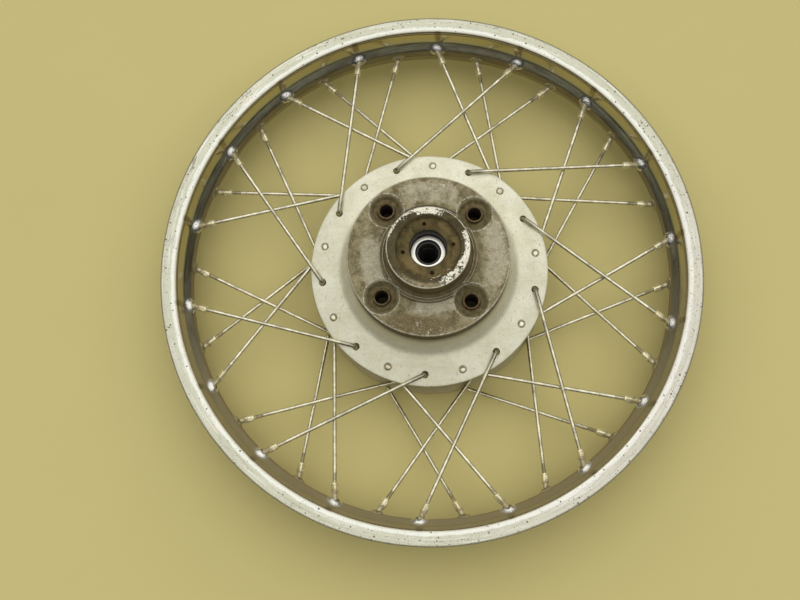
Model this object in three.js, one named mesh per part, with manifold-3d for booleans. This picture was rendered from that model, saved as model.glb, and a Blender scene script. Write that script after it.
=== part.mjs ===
// Rear wheel of a small motorcycle: chromed steel rim, wire spokes, drum-brake hub with a cushioned
// sprocket carrier, and the two axle bearings with everything between them.
// Millimetres. +Z is the axle's direction, towards the sprocket side; the wheel lies on its drum's end
// ring at Z = 0. Azimuths are in degrees, clockwise from +Y seen from the sprocket side.

import * as THREE from 'three';
import { mergeVertices } from 'three/addons/utils/BufferGeometryUtils.js';
import Module from 'manifold-3d';

const wasm = await Module();
wasm.setup();

// ---- driving dimensions ----

const RIM_CENTRE_Z = 38; // rim's centre plane above the drum's end ring
const RIM_R = 244.4; // outer edge of the rim's flanges
const RIM_HALF_WIDTH = 29.5;
const RIM_WALL = 2; // steel thickness
const WELL_R = 222; // hub-facing side of the rim's well
const WELL_HALF_WIDTH = 8.8;
const SEAT_R = 228.4; // hub-facing side of the bead seats
const ROW_OFFSET = 5.5; // each row of nipple holes from the rim's centre plane

const SPOKES_PER_ROW = 18;
const FIRST_SPOKE_AZ = 4.6; // first hole of the sprocket-side flange with its spoke's head outside
const SPOKE_SWEEP = 40; // azimuth from a spoke's flange hole to its rim hole
const SPOKE_CIRCLE_R = 97;
const SPOKE_R = 1.75;
const ELBOW_R = 4; // centre-line radius of a spoke's bend
const OUTER_CROWN = 29.3; // outer spokes' bend, from the rim's centre plane
const INNER_CROWN = 19.4; // inner spokes' bend, from the rim's centre plane
const HEAD_R = 3; // spoke's own head
const HEAD_HEIGHT = 2.2;
const NIPPLE_REACH = 15.2; // from the well's surface to the nipple's hub end
const NIPPLE_DRIVE_R = 3; // six-sided part that a spoke key turns
const NIPPLE_DRIVE_LENGTH = 8.5;
const NIPPLE_SHANK_R = 2.4;
const NIPPLE_HEAD_R = 3.6;
const NIPPLE_HEAD_AT = 4.4; // from the well's hub-facing surface to the head's underside
const NIPPLE_HEAD_HEIGHT = 2.5;
const RIM_HOLE_R = 2.9;

const FLANGE_FACE = 27; // outer face of a flange at its spoke circle, from the rim's centre plane
const FLANGE_THICK = 5.5;
const BEND_HOLE_R = 3.4; // flange holes of the outer spokes
const HEAD_HOLE_R = 2.7; // flange holes of the inner spokes
const COUNTERSINK_R = 3.7;
const COUNTERSINK_DEPTH = 2.2;
const DRIVE_FLANGE_R = 107.5;
const BRAKE_FLANGE_R = 108.5;

const DRUM_R = 92.5; // outside of the drum's end ring
const LINER_R = 80; // braking surface
const LINER_WALL = 5;
const DRUM_DEPTH = 44;

const DAMPER_R = 70.5; // sprocket carrier's disc
const DAMPER_FACE_Z = 110.9;
const BUSH_CIRCLE_R = 53.9;
const FIRST_BUSH_AZ = -40;
const BUSH_R = 15;
const BUSH_HEIGHT = 27;
const SLEEVE_R = 7.5;
const STUD_HOLE_R = 5.75;

const SHOULDER_R = 42;
const SHOULDER_Z = 116.5;
const SPIGOT_R = 35.2; // centres the sprocket
const SPIGOT_TOP_Z = 137.1;

const AXLE_HOLE_R = 8.6;
const BEARING_R = 23.5; // 17 x 47 x 14 deep-groove bearing
const BEARING_WIDTH = 14;
const BRAKE_BEARING_Z = 16; // lower side of the brake-side bearing
const DRIVE_BEARING_Z = 101; // lower side of the sprocket-side bearing
const BALL_COUNT = 7;
const BALL_R = 4.2;
const BALL_CIRCLE_R = 16.1;

const RETAINER_R = 27;
const RETAINER_TOP_Z = 133.4;
const RETAINER_HOLE_R = 15.3;
const SPANNER_HOLE_CIRCLE_R = 21.3;
const SPANNER_HOLE_R = 1.9;
const SPANNER_HOLE_DEPTH = 5;
const FIRST_SPANNER_HOLE_AZ = -6.5;
const SEAL_HEIGHT = 4.2;
const SEAL_R = 20;
const COLLAR_R = 14.9;
const COLLAR_HOLE_R = 10.2;
const COLLAR_TOP_Z = 119.8;

const GAP = 0.2; // between pieces that touch
const RIM_SIDES = 48;
const HUB_SIDES = 36;
const WIRE_SIDES = 5;
const HOLE_SIDES = 6;

// ---- helpers ----

const rad = THREE.MathUtils.degToRad;

// Point at radius r and azimuth az, height z.
function polar(r, az, z) {
  return new THREE.Vector3(r * Math.sin(rad(az)), r * Math.cos(rad(az)), z);
}

// Turned solid about Z from a closed outline of [radius, height] points.
function turned(outline, sides) {
  const points = [...outline, outline[0]].map(([r, z]) => new THREE.Vector2(r, z));
  return new THREE.LatheGeometry(points, sides).rotateX(Math.PI / 2);
}

// Ring of rectangular section between two radii and two heights.
function ring(innerR, outerR, low, high, sides) {
  return turned([[innerR, low], [outerR, low], [outerR, high], [innerR, high]], sides);
}

// Solid of revolution along the line from one point to another, tapering from one radius to another.
function rod(from, to, startR, endR, sides) {
  const axis = to.clone().sub(from);
  const geometry = new THREE.CylinderGeometry(endR, startR, axis.length(), sides);
  const turn = new THREE.Quaternion().setFromUnitVectors(
    new THREE.Vector3(0, 1, 0), axis.clone().normalize());
  geometry.applyQuaternion(turn);
  return geometry.translate(...from.clone().add(to).multiplyScalar(0.5));
}

// Turned solid whose axis runs from a point in a given direction.
function turnedAlong(from, direction, outline, sides) {
  const turn = new THREE.Quaternion().setFromUnitVectors(new THREE.Vector3(0, 0, 1), direction);
  return turned(outline, sides).applyQuaternion(turn).translate(...from);
}

// Geometry to manifold solid; a geometry whose faces point inwards is turned inside out first.
function solid(geometry) {
  const plain = geometry.clone();
  plain.deleteAttribute('normal');
  plain.deleteAttribute('uv');
  const merged = mergeVertices(plain, 1e-4);
  const vertProperties = Float32Array.from(merged.attributes.position.array);
  const triVerts = Uint32Array.from(merged.index.array);
  if (signedVolume(vertProperties, triVerts) < 0) {
    triVerts.reverse();
  }
  return new wasm.Manifold(new wasm.Mesh({ numProp: 3, vertProperties, triVerts }));
}

function signedVolume(positions, triangles) {
  const corner = (i) => new THREE.Vector3().fromArray(positions, 3 * triangles[i]);
  let sum = 0;
  for (let i = 0; i < triangles.length; i += 3) {
    sum += corner(i).dot(corner(i + 1).cross(corner(i + 2)));
  }
  return sum / 6;
}

// Manifold solid to geometry.
function geometryOf(manifold) {
  const mesh = manifold.getMesh();
  const geometry = new THREE.BufferGeometry();
  geometry.setAttribute('position', new THREE.BufferAttribute(mesh.vertProperties, 3));
  geometry.setIndex(new THREE.BufferAttribute(mesh.triVerts, 1));
  geometry.computeVertexNormals();
  return geometry;
}

function joined(...geometries) {
  const [first, ...rest] = geometries.map(solid);
  return geometryOf(rest.reduce((whole, piece) => whole.add(piece), first));
}

function cut(body, cutters) {
  return geometryOf(cutters.map(solid).reduce((left, piece) => left.subtract(piece), solid(body)));
}

// The same outline above and below a centre plane, as one closed outline.
function mirrored(upper, centreZ) {
  const above = upper.map(([r, z]) => [r, centreZ + z]);
  const below = upper.map(([r, z]) => [r, centreZ - z]).reverse();
  return [...above, ...below];
}

// ---- the four kinds of spoke ----

// side: +1 for the sprocket-side flange, -1 for the brake-side one. outside: the spoke's bend lies on
// the flange's outer face. turn: +1 where the spoke runs clockwise from the hub.
const SPOKE_KINDS = [
  { name: 'spoke_drive_outer', side: 1, outside: true, turn: 1, startAz: 20 },
  { name: 'spoke_drive_inner', side: 1, outside: false, turn: -1, startAz: 0 },
  { name: 'spoke_brake_outer', side: -1, outside: true, turn: -1, startAz: 10 },
  { name: 'spoke_brake_inner', side: -1, outside: false, turn: 1, startAz: -10 },
];

// A spoke's line at flange azimuth 0: its bend's corner, and its rim hole on the well's surface.
function spokeLine({ side, outside, turn }) {
  const crown = side * (outside ? OUTER_CROWN : INNER_CROWN);
  const corner = polar(SPOKE_CIRCLE_R, 0, RIM_CENTRE_Z + crown);
  const rimHole = polar(WELL_R, turn * SPOKE_SWEEP, RIM_CENTRE_Z + side * ROW_OFFSET);
  return { corner, rimHole, along: rimHole.clone().sub(corner).normalize() };
}

// Centre line of a spoke's wire: straight shank, a bend of ELBOW_R, then straight to the nipple.
// Its parameter is shared out by pieces, so that the steps of a sweep fall in the bend.
class WirePath extends THREE.Curve {
  constructor(start, corner, end, bendSteps) {
    super();
    const into = corner.clone().sub(start).normalize();
    const out = end.clone().sub(corner).normalize();
    const angle = into.angleTo(out);
    const tangent = ELBOW_R * Math.tan(angle / 2);
    const bendStart = corner.clone().addScaledVector(into, -tangent);
    const side = out.clone().addScaledVector(into, -out.dot(into)).normalize();
    this.points = [start];
    for (let i = 0; i <= bendSteps; i++) {
      const a = (angle * i) / bendSteps;
      this.points.push(bendStart.clone()
        .addScaledVector(into, ELBOW_R * Math.sin(a))
        .addScaledVector(side, ELBOW_R * (1 - Math.cos(a))));
    }
    this.points.push(end);
    this.steps = this.points.length - 1;
  }

  getPoint(t, target = new THREE.Vector3()) {
    const at = Math.min(t * this.steps, this.steps - 1e-9);
    const i = Math.floor(at);
    return target.lerpVectors(this.points[i], this.points[i + 1], at - i);
  }

  getUtoTmapping(u) {
    return u;
  }
}

// A spoke with its nipple screwed on, at flange azimuth 0.
function spokeGeometry(kind) {
  const { corner, rimHole, along } = spokeLine(kind);
  const up = kind.side * (kind.outside ? 1 : -1);
  const outerFace = RIM_CENTRE_Z + kind.side * FLANGE_FACE;
  const innerFace = outerFace - kind.side * FLANGE_THICK;
  const headZ = kind.outside ? innerFace - kind.side * (HEAD_HEIGHT + GAP) : outerFace;
  const start = polar(SPOKE_CIRCLE_R, 0, headZ);
  const at = (distance) => rimHole.clone().addScaledVector(along, distance);

  const path = new WirePath(start, corner, at(2 - NIPPLE_REACH), 2);
  const section = new THREE.Shape(new THREE.EllipseCurve(0, 0, SPOKE_R, SPOKE_R).getPoints(WIRE_SIDES)
    .slice(0, WIRE_SIDES));
  const wire = new THREE.ExtrudeGeometry(section, { steps: path.steps, extrudePath: path });

  const headEnd = start.clone().add(new THREE.Vector3(0, 0, up * HEAD_HEIGHT));
  const headR = kind.outside ? BEND_HOLE_R + 0.6 : HEAD_R;
  const headNeckR = kind.outside ? headR : SPOKE_R;
  const head = rod(start, headEnd, headR, headNeckR, WIRE_SIDES);

  const nipple = turnedAlong(at(-NIPPLE_REACH), along, [
    [0, 0],
    [NIPPLE_DRIVE_R, 0],
    [NIPPLE_DRIVE_R, NIPPLE_DRIVE_LENGTH],
    [NIPPLE_SHANK_R, NIPPLE_DRIVE_LENGTH],
    [NIPPLE_SHANK_R, NIPPLE_REACH + NIPPLE_HEAD_AT],
    [NIPPLE_HEAD_R, NIPPLE_REACH + NIPPLE_HEAD_AT],
    [NIPPLE_HEAD_R, NIPPLE_REACH + NIPPLE_HEAD_AT + NIPPLE_HEAD_HEIGHT],
    [0, NIPPLE_REACH + NIPPLE_HEAD_AT + NIPPLE_HEAD_HEIGHT],
  ], HOLE_SIDES);
  return joined(wire, head, nipple);
}

// Azimuth of a spoke's flange hole.
function spokeAz(kind, i) {
  return FIRST_SPOKE_AZ + kind.startAz + (i * 720) / SPOKES_PER_ROW;
}

const SPOKES_PER_KIND = SPOKES_PER_ROW / 2;

// Every spoke of every kind, as { kind, i, az }.
const allSpokes = SPOKE_KINDS.flatMap((kind) =>
  Array.from({ length: SPOKES_PER_KIND }, (_, i) => ({ kind, i, az: spokeAz(kind, i) })));

// ---- rim ----

function rimGeometry() {
  const top = RIM_HALF_WIDTH;
  const outline = mirrored([
    [WELL_R, WELL_HALF_WIDTH],
    [SEAT_R - 1, 13.5],
    [SEAT_R, 22.5],
    [SEAT_R + 2.2, top - 2.3],
    [SEAT_R + 7.1, top - 0.3],
    [RIM_R - 1.2, top],
    [RIM_R, top - 1.5],
    [RIM_R - 0.7, top - 3.1],
    [SEAT_R + 7.6, top - 0.5 - RIM_WALL],
    [SEAT_R + 3.5, top - 2.3 - RIM_WALL],
    [SEAT_R + 1.9, 22],
    [SEAT_R + 1, 13.8],
    [WELL_R + RIM_WALL, WELL_HALF_WIDTH + 0.5],
  ], RIM_CENTRE_Z);
  const holes = allSpokes.map(({ kind, az }) => {
    const { rimHole, along } = spokeLine(kind);
    const from = rimHole.clone().addScaledVector(along, -3);
    const to = rimHole.clone().addScaledVector(along, 7);
    return rod(from, to, RIM_HOLE_R, RIM_HOLE_R, HOLE_SIDES).rotateZ(-rad(az));
  });
  return cut(turned(outline, RIM_SIDES), holes);
}

// ---- hub ----

const LINER_SEAT_R = LINER_R + LINER_WALL + GAP;
const BEARING_SEAT_R = BEARING_R + GAP;
const THREAD_R = RETAINER_R + GAP;
const CORE_R = 18; // bore between the bearings
const BOSS_R = 33; // brake-side bearing's boss, inside the drum

function hubOutline() {
  const flangeTop = RIM_CENTRE_Z + FLANGE_FACE;
  const flangeLow = flangeTop - FLANGE_THICK;
  const brakeFace = RIM_CENTRE_Z - FLANGE_FACE;
  const brakeInner = brakeFace + FLANGE_THICK;
  const driveTop = DRIVE_BEARING_Z + BEARING_WIDTH;
  const brakeTop = BRAKE_BEARING_Z + BEARING_WIDTH + GAP;
  return [
    [LINER_SEAT_R, 0],
    [DRUM_R, 0],
    [DRUM_R, brakeFace - 1.4],
    [BRAKE_FLANGE_R, brakeFace + 3.3],
    [BRAKE_FLANGE_R, brakeInner - 0.6],
    [DRUM_R - 4.5, brakeInner],
    [DRUM_R - 4.5, flangeLow],
    [DRIVE_FLANGE_R, flangeLow],
    [DRIVE_FLANGE_R, flangeTop - 2.7],
    [90, flangeTop + 1.6],
    [78, flangeTop + 3.6],
    [73, flangeTop + 11],
    [DAMPER_R, flangeTop + 23],
    [DAMPER_R, DAMPER_FACE_Z - 1.5],
    [DAMPER_R - 1.5, DAMPER_FACE_Z],
    [SHOULDER_R, DAMPER_FACE_Z],
    [SHOULDER_R - 0.5, SHOULDER_Z],
    [SPIGOT_R + 3.4, SHOULDER_Z],
    [SPIGOT_R + 2.2, SHOULDER_Z - 1.5],
    [SPIGOT_R, SHOULDER_Z - 1.5],
    [SPIGOT_R, SPIGOT_TOP_Z - 0.8],
    [SPIGOT_R - 0.8, SPIGOT_TOP_Z],
    [THREAD_R, SPIGOT_TOP_Z],
    [THREAD_R, driveTop],
    [BEARING_SEAT_R, driveTop],
    [BEARING_SEAT_R, DRIVE_BEARING_Z - GAP],
    [CORE_R, DRIVE_BEARING_Z - GAP],
    [CORE_R, brakeTop],
    [BEARING_SEAT_R, brakeTop],
    [BEARING_SEAT_R, BRAKE_BEARING_Z - 4],
    [BOSS_R, BRAKE_BEARING_Z - 4],
    [BOSS_R + 5, DRUM_DEPTH],
    [BOSS_R + 9, DRUM_DEPTH + 22],
    [DAMPER_R - 4.5, DRUM_DEPTH + 20],
    [DAMPER_R - 2.5, DRUM_DEPTH],
    [LINER_SEAT_R, DRUM_DEPTH],
  ];
}

// Spoke hole through a flange at azimuth 0: wide enough for the bend of an outer spoke, or
// countersunk in the outer face for the head of an inner one.
function flangeHole({ side, outside }) {
  const face = RIM_CENTRE_Z + side * FLANGE_FACE;
  const at = (depth) => polar(SPOKE_CIRCLE_R, 0, face - side * depth);
  const r = outside ? BEND_HOLE_R : HEAD_HOLE_R;
  const through = rod(at(-6), at(FLANGE_THICK + 4), r, r, HOLE_SIDES);
  if (outside) {
    return through;
  }
  const flareR = 2 * COUNTERSINK_R - r; // countersink's cone, carried on above the face
  return joined(through, rod(at(-COUNTERSINK_DEPTH), at(COUNTERSINK_DEPTH), flareR, r, HOLE_SIDES));
}

function hubGeometry() {
  const holes = new Map(SPOKE_KINDS.map((kind) => [kind, flangeHole(kind)]));
  const spokeHoles = allSpokes.map(({ kind, az }) => holes.get(kind).clone().rotateZ(-rad(az)));
  const pockets = bushAzimuths.map((az) => {
    const low = polar(BUSH_CIRCLE_R, az, BUSH_LOW_Z - GAP);
    return rod(low, polar(BUSH_CIRCLE_R, az, SHOULDER_Z + 5), BUSH_R + GAP, BUSH_R + GAP, 16);
  });
  return cut(turned(hubOutline(), HUB_SIDES), [...spokeHoles, ...pockets]);
}

// ---- cushion bushes of the sprocket carrier ----

const bushAzimuths = [0, 1, 2, 3].map((i) => FIRST_BUSH_AZ + 90 * i);
const BUSH_TOP_Z = DAMPER_FACE_Z - 1;
const BUSH_LOW_Z = BUSH_TOP_Z - BUSH_HEIGHT;
const SLEEVE_TOP_Z = DAMPER_FACE_Z - 0.5;

// Rubber ring, dished between its skin and its sleeve.
function bushGeometry() {
  const inner = SLEEVE_R + GAP;
  const dish = 3;
  return turned([
    [inner, BUSH_LOW_Z],
    [BUSH_R, BUSH_LOW_Z],
    [BUSH_R, BUSH_TOP_Z],
    [BUSH_R - 2, BUSH_TOP_Z],
    [BUSH_R - 4, BUSH_TOP_Z - dish],
    [inner, BUSH_TOP_Z - dish],
  ], 16);
}

function sleeveGeometry() {
  return ring(STUD_HOLE_R, SLEEVE_R, BUSH_LOW_Z, SLEEVE_TOP_Z, 12);
}

// ---- brake drum liner ----

function linerGeometry() {
  return ring(LINER_R, LINER_R + LINER_WALL, 0.5, DRUM_DEPTH - GAP, HUB_SIDES);
}

// ---- bearings: made at their own mid-plane ----

const RACE_SIDES = 24;

function outerRaceGeometry() {
  const half = BEARING_WIDTH / 2;
  return turned([
    [BEARING_R, -half],
    [BEARING_R, half],
    [18.9, half],
    [18.9, 3.9],
    [20.7, 1],
    [20.7, -1],
    [18.9, -3.9],
    [18.9, -half],
  ], RACE_SIDES);
}

function innerRaceGeometry() {
  const half = BEARING_WIDTH / 2;
  return turned([
    [AXLE_HOLE_R, -half],
    [13.2, -half],
    [13.2, -3.9],
    [11.7, -1],
    [11.7, 1],
    [13.2, 3.9],
    [13.2, half],
    [AXLE_HOLE_R, half],
  ], RACE_SIDES);
}

// Balls held in a cage ring that runs through their middles.
function ballsAndCageGeometry() {
  const cage = ring(BALL_CIRCLE_R - 1.1, BALL_CIRCLE_R + 1.1, -1.4, 1.4, 21);
  const balls = Array.from({ length: BALL_COUNT }, (_, i) =>
    new THREE.SphereGeometry(BALL_R, 7, 5).rotateX(Math.PI / 2)
      .translate(...polar(BALL_CIRCLE_R, (i * 360) / BALL_COUNT, 0)));
  return joined(cage, ...balls);
}

// ---- pieces around the axle ----

function distanceCollarGeometry() {
  const low = BRAKE_BEARING_Z + BEARING_WIDTH + GAP;
  return ring(AXLE_HOLE_R, 11.6, low, DRIVE_BEARING_Z - GAP, 24);
}

// Screwed ring above the sprocket-side bearing: seal pocket beneath, spanner holes on top.
function retainerGeometry() {
  const low = DRIVE_BEARING_Z + BEARING_WIDTH + GAP;
  const pocketTop = low + SEAL_HEIGHT + 2 * GAP;
  const body = turned([
    [SEAL_R + GAP, low],
    [RETAINER_R, low],
    [RETAINER_R, RETAINER_TOP_Z],
    [RETAINER_HOLE_R, RETAINER_TOP_Z],
    [RETAINER_HOLE_R, pocketTop],
    [SEAL_R + GAP, pocketTop],
  ], HUB_SIDES);
  const holes = [0, 90, 180, 270].map((turn) => {
    const at = (z) => polar(SPANNER_HOLE_CIRCLE_R, FIRST_SPANNER_HOLE_AZ + turn, z);
    const floor = at(RETAINER_TOP_Z - SPANNER_HOLE_DEPTH);
    return rod(floor, at(RETAINER_TOP_Z + 1), SPANNER_HOLE_R, SPANNER_HOLE_R, 8);
  });
  return cut(body, holes);
}

function sealGeometry() {
  const low = DRIVE_BEARING_Z + BEARING_WIDTH + 2 * GAP;
  const lip = COLLAR_R + 0.15;
  return turned([
    [SEAL_R, low],
    [SEAL_R, low + SEAL_HEIGHT],
    [lip, low + SEAL_HEIGHT],
    [lip, low + 2.6],
    [lip + 1.8, low + 1.4],
    [lip + 1.8, low],
  ], HUB_SIDES);
}

function sideCollarGeometry() {
  const low = DRIVE_BEARING_Z + BEARING_WIDTH + GAP;
  return turned([
    [AXLE_HOLE_R, low],
    [12.6, low],
    [COLLAR_R, low + 1.5],
    [COLLAR_R, COLLAR_TOP_Z],
    [COLLAR_HOLE_R + 0.7, COLLAR_TOP_Z],
    [COLLAR_HOLE_R, COLLAR_TOP_Z - 0.7],
    [COLLAR_HOLE_R, low + 1.8],
    [AXLE_HOLE_R, low + 1.8],
  ], HUB_SIDES);
}

// ---- materials ----

function material(color, roughness, metalness) {
  return new THREE.MeshStandardMaterial({ color, roughness, metalness });
}

const chrome = () => material(0xd8dadc, 0.12, 1);
const zincWire = () => material(0xa8a698, 0.35, 0.9);
const castAluminium = () => material(0xc9c8bd, 0.5, 0.8);
const castIron = () => material(0x5d5a56, 0.6, 0.8);
const bearingSteel = () => material(0xb9bcc0, 0.2, 1);
const plainSteel = () => material(0x8f9092, 0.4, 0.9);
const rustySteel = () => material(0x6e5a48, 0.65, 0.6);
const blackRubber = () => material(0x1b1a19, 0.8, 0);
const brownRubber = () => material(0x3d352c, 0.85, 0);

// ---- assembly ----

const group = new THREE.Group();

function add(name, geometry, finish, z = 0, az = 0) {
  const mesh = new THREE.Mesh(geometry, finish);
  mesh.name = name;
  mesh.position.z = z;
  mesh.rotation.z = -rad(az);
  group.add(mesh);
  return mesh;
}

add('rim', rimGeometry(), chrome());
add('hub_shell', hubGeometry(), castAluminium());
add('brake_drum_liner', linerGeometry(), castIron());

for (const kind of SPOKE_KINDS) {
  const geometry = spokeGeometry(kind);
  for (let i = 0; i < SPOKES_PER_KIND; i++) {
    add(`${kind.name}_${i + 1}`, geometry, zincWire(), 0, spokeAz(kind, i));
  }
}

bushAzimuths.forEach((az, i) => {
  const at = polar(BUSH_CIRCLE_R, az, 0);
  add(`cush_rubber_${i + 1}`, bushGeometry(), brownRubber()).position.copy(at);
  add(`cush_sleeve_${i + 1}`, sleeveGeometry(), plainSteel()).position.copy(at);
});

for (const [name, low] of [['drive_bearing', DRIVE_BEARING_Z], ['brake_bearing', BRAKE_BEARING_Z]]) {
  const middle = low + BEARING_WIDTH / 2;
  add(`${name}_outer_ring`, outerRaceGeometry(), bearingSteel(), middle);
  add(`${name}_inner_ring`, innerRaceGeometry(), bearingSteel(), middle);
  add(`${name}_balls_and_cage`, ballsAndCageGeometry(), bearingSteel(), middle);
}

add('bearing_distance_collar', distanceCollarGeometry(), plainSteel());
add('bearing_retainer', retainerGeometry(), rustySteel());
add('oil_seal', sealGeometry(), blackRubber());
add('side_collar', sideCollarGeometry(), bearingSteel());

export default group;
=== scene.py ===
"""Looks of a motorcycle's rear wheel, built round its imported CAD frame.

Lengths are in millimetres until a mesh is made. Azimuths are in degrees, clockwise from +Y seen from
above (the sprocket side), so a point at radius r and azimuth a lies at (r sin a, r cos a).
"""

import math

import bpy
import numpy as np
from mathutils import Matrix, Vector

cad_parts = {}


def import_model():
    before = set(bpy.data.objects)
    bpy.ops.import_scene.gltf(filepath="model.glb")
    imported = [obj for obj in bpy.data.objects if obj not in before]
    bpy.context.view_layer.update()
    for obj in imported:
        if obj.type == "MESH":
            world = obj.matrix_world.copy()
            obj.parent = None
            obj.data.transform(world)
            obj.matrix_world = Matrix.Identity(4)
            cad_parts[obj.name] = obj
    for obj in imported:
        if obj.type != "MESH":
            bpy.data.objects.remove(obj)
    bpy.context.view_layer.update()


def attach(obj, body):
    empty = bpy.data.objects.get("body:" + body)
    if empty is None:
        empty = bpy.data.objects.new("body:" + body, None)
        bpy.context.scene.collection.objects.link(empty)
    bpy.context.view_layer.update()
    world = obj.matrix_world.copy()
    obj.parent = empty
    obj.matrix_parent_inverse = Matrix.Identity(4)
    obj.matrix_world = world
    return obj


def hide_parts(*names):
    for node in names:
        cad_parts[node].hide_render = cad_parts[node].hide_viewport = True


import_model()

MM = 0.001

# ---- sizes shared with the CAD ----

RIM_CENTRE_Z = 38.0
WELL_R = 222.0
ROW_OFFSET = 5.5
FIRST_SPOKE_AZ = 4.6
SPOKE_SWEEP = 40.0
SPOKE_CIRCLE_R = 97.0
ELBOW_R = 4.0
FLANGE_FACE = 27.0
FLANGE_THICK = 5.5
OUTER_CROWN = 29.3
INNER_CROWN = 19.4
BUSH_COUNT = 4
BUSH_CIRCLE_R = 53.9
FIRST_BUSH_AZ = -40.0
DRIVE_BEARING_Z = 101.0
BRAKE_BEARING_Z = 16.0
BEARING_WIDTH = 14.0
BALL_COUNT = 7
BALL_R = 4.2
BALL_CIRCLE_R = 16.1

# name, flange side, bend outside the flange, turn of the spoke, azimuth of its first hole
SPOKE_KINDS = (
    ("spoke_drive_outer", 1, True, 1, 20.0),
    ("spoke_drive_inner", 1, False, -1, 0.0),
    ("spoke_brake_outer", -1, True, -1, 10.0),
    ("spoke_brake_inner", -1, False, 1, -10.0),
)
SPOKES_PER_KIND = 9


def polar(r, az, z):
    a = math.radians(az)
    return np.array([r * math.sin(a), r * math.cos(a), z])


def unit(v):
    return v / np.linalg.norm(v)


# ---- outlines ----


def rounded(corners, arc_step):
    """Closed outline from corners (r, z) or (r, z, fillet radius), arcs stepped by degrees."""
    points = []
    count = len(corners)
    for i, corner in enumerate(corners):
        p = np.array(corner[:2], float)
        fillet = corner[2] if len(corner) > 2 else 0
        if not fillet:
            points.append(p)
            continue
        before = np.array(corners[i - 1][:2], float) - p
        after = np.array(corners[(i + 1) % count][:2], float) - p
        room = 0.48 * min(np.linalg.norm(before), np.linalg.norm(after))
        before, after = unit(before), unit(after)
        angle = math.acos(max(-1.0, min(1.0, float(before @ after))))
        if angle > math.radians(178):
            points.append(p)
            continue
        reach = min(fillet / math.tan(angle / 2), room)
        fillet = reach * math.tan(angle / 2)
        centre = p + unit(before + after) * fillet / math.sin(angle / 2)
        start, end = p + before * reach - centre, p + after * reach - centre
        sweep = math.pi - angle
        steps = max(2, math.ceil(math.degrees(sweep) / arc_step))
        for k in range(steps + 1):
            t = k / steps
            a, b = math.sin((1 - t) * sweep), math.sin(t * sweep)
            points.append(centre + (start * a + end * b) / math.sin(sweep))
    return np.array(points)


def subdivided(points, longest, where):
    """The closed outline with its long edges cut up, those that where() picks by their middle."""
    out = []
    for i, p in enumerate(points):
        q = points[(i + 1) % len(points)]
        out.append(p)
        if where((p + q) / 2):
            steps = math.ceil(np.linalg.norm(q - p) / longest)
            out.extend(p + (q - p) * k / steps for k in range(1, steps))
    return np.array(out)


# ---- meshes: a shape is (points, faces) ----


def grid_faces(rows, columns, wrap_rows=True):
    i, j = np.meshgrid(
        np.arange(rows if wrap_rows else rows - 1),
        np.arange(columns),
        indexing="ij",
    )
    i, j = i.ravel(), j.ravel()
    right, up = (i + 1) % rows, (j + 1) % columns
    return np.stack([i * columns + j, right * columns + j, right * columns + up, i * columns + up], 1)


def volume(points, faces):
    total = 0.0
    for face in faces:
        a = points[face[0]]
        for k in range(1, len(face) - 1):
            total += float(a @ np.cross(points[face[k]], points[face[k + 1]]))
    return total / 6


def outward(points, faces):
    """The shape of four-sided faces, turned so that they look outwards."""
    a, b, c, d = (points[faces[:, k]] for k in range(4))
    total = (a * np.cross(b, c)).sum() + (a * np.cross(c, d)).sum()
    return points, (faces[:, ::-1] if total < 0 else faces).tolist()


def turned(outline, sides=None, azimuths=None):
    """Ring turned about Z from a closed outline of (r, z), with even sides or at the azimuths."""
    az = np.radians(np.arange(sides) * 360 / sides if azimuths is None else azimuths)
    r, z = outline[:, 0], outline[:, 1]
    points = np.stack(
        [np.outer(np.sin(az), r), np.outer(np.cos(az), r), np.tile(z, (len(az), 1))], 2
    ).reshape(-1, 3)
    return outward(points, grid_faces(len(az), len(outline)))


def swept(path, radii, sides, square=None):
    """Solid round a path, with flat ends. square says how square each section is, 0 to 1."""
    path = np.array(path, float)
    tangents = np.gradient(path, axis=0)
    tangents /= np.linalg.norm(tangents, axis=1)[:, None]
    side = unit(np.cross(tangents[0], [0.3, 0.5, 0.81]))
    angles = np.arange(sides) * 2 * math.pi / sides
    points = []
    for i, (p, t, radius) in enumerate(zip(path, tangents, radii)):
        side = unit(side - t * (side @ t))
        other = np.cross(t, side)
        shape = radius
        if square is not None and square[i]:
            flat = radius / np.maximum(np.abs(np.cos(angles)), np.abs(np.sin(angles)))
            shape = radius + (np.minimum(flat, radius * 1.22) - radius) * square[i]
        ring = p + np.outer(np.cos(angles) * shape, side) + np.outer(np.sin(angles) * shape, other)
        points.append(ring)
    points = np.concatenate(points)
    rows = len(path)
    faces = [tuple(f) for f in grid_faces(rows, sides, wrap_rows=False).tolist()]
    faces.append(tuple(range(sides)))
    faces.append(tuple(reversed(range((rows - 1) * sides, rows * sides))))
    if volume(points, faces) < 0:
        faces = [f[::-1] for f in faces]
    return points, faces


def moved(shape, matrix):
    points, faces = shape
    rotation = np.array(matrix.to_3x3())
    return points @ rotation.T + np.array(matrix.translation), faces


def about_axis(shape, az):
    """The shape turned clockwise about Z."""
    return moved(shape, Matrix.Rotation(-math.radians(az), 4, "Z"))


def gathered(*shapes):
    points, faces, start = [], [], 0
    for p, f in shapes:
        points.append(p)
        faces.extend([tuple(i + start for i in face) for face in f])
        start += len(p)
    return np.concatenate(points), faces


def mesh_of(name, shape):
    points, faces = shape
    mesh = bpy.data.meshes.new(name)
    mesh.from_pydata((points * MM).tolist(), [], faces)
    mesh.update()
    return mesh


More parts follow.
